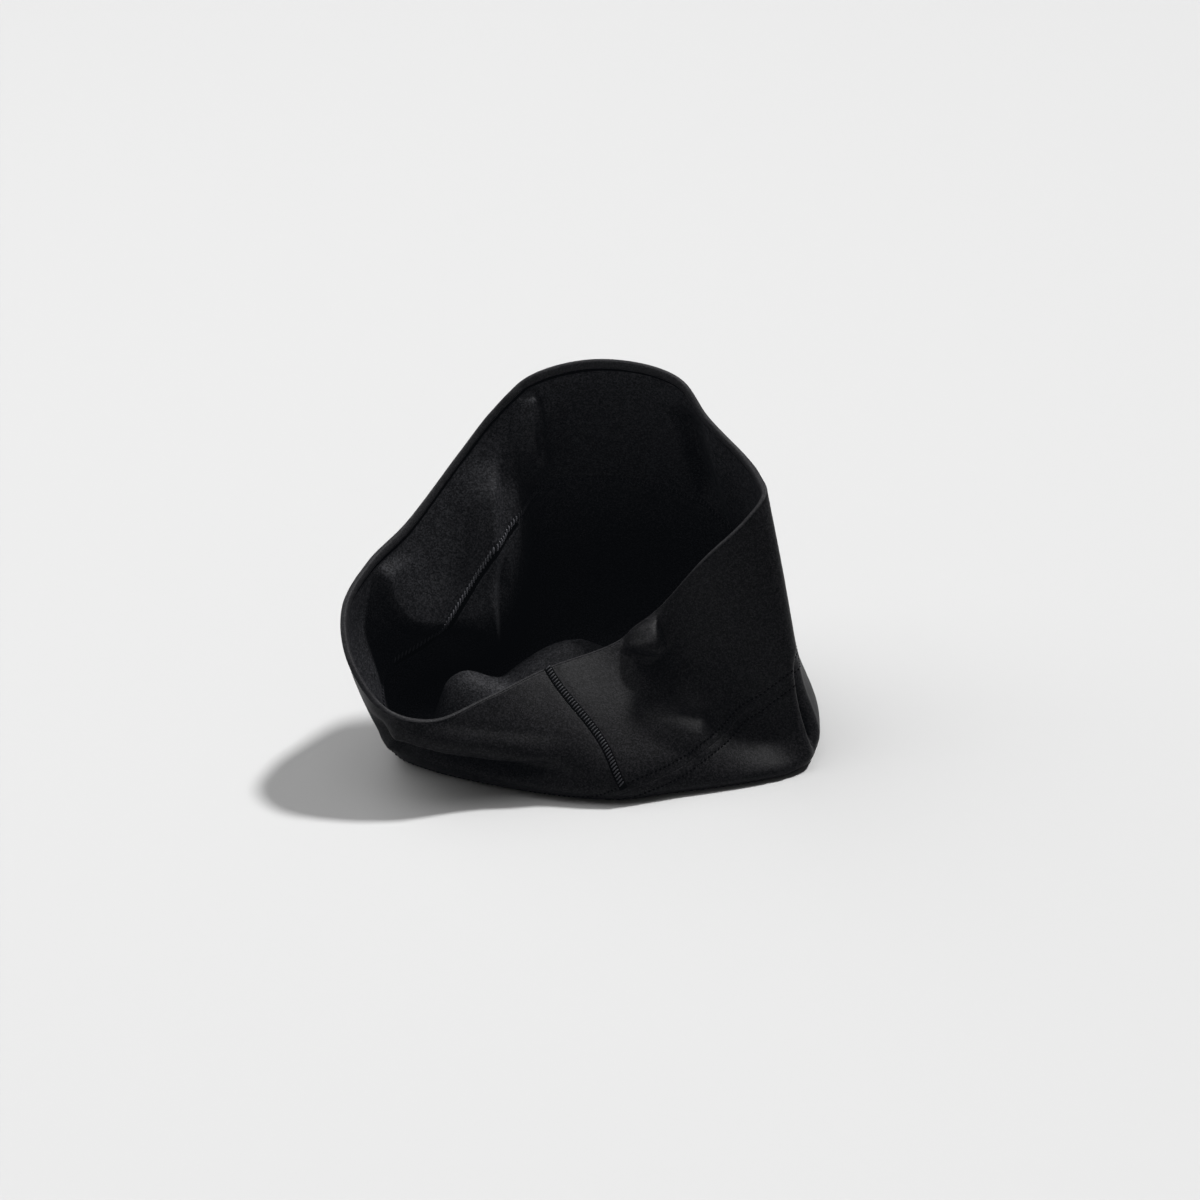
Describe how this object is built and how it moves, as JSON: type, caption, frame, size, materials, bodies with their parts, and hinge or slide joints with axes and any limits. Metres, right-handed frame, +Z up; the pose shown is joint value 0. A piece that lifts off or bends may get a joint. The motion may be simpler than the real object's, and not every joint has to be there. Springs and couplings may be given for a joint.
{
  "type": "skull cap",
  "caption": "Soft stretch-cloth skull cap lying slumped on its crown with the mouth tipped up and open, with a side band, a rounded crown and a narrow turned hem.",
  "frame": {"origin": "middle of the cap's box, on the floor that it lies on", "axes": "+Z up, +X to the right looking in at the mouth, +Y away from the viewer"},
  "size_m": [0.1886, 0.1342, 0.1324],
  "materials": {
    "jersey": "matte black stretch jersey, smooth outside and brushed inside",
    "hem": "black turned edge, tighter and a little smoother than the jersey"
  },
  "bodies": {
    "root": {"side_band": "jersey", "crown": "jersey", "rim_hem": "hem"}
  },
  "joints": []
}
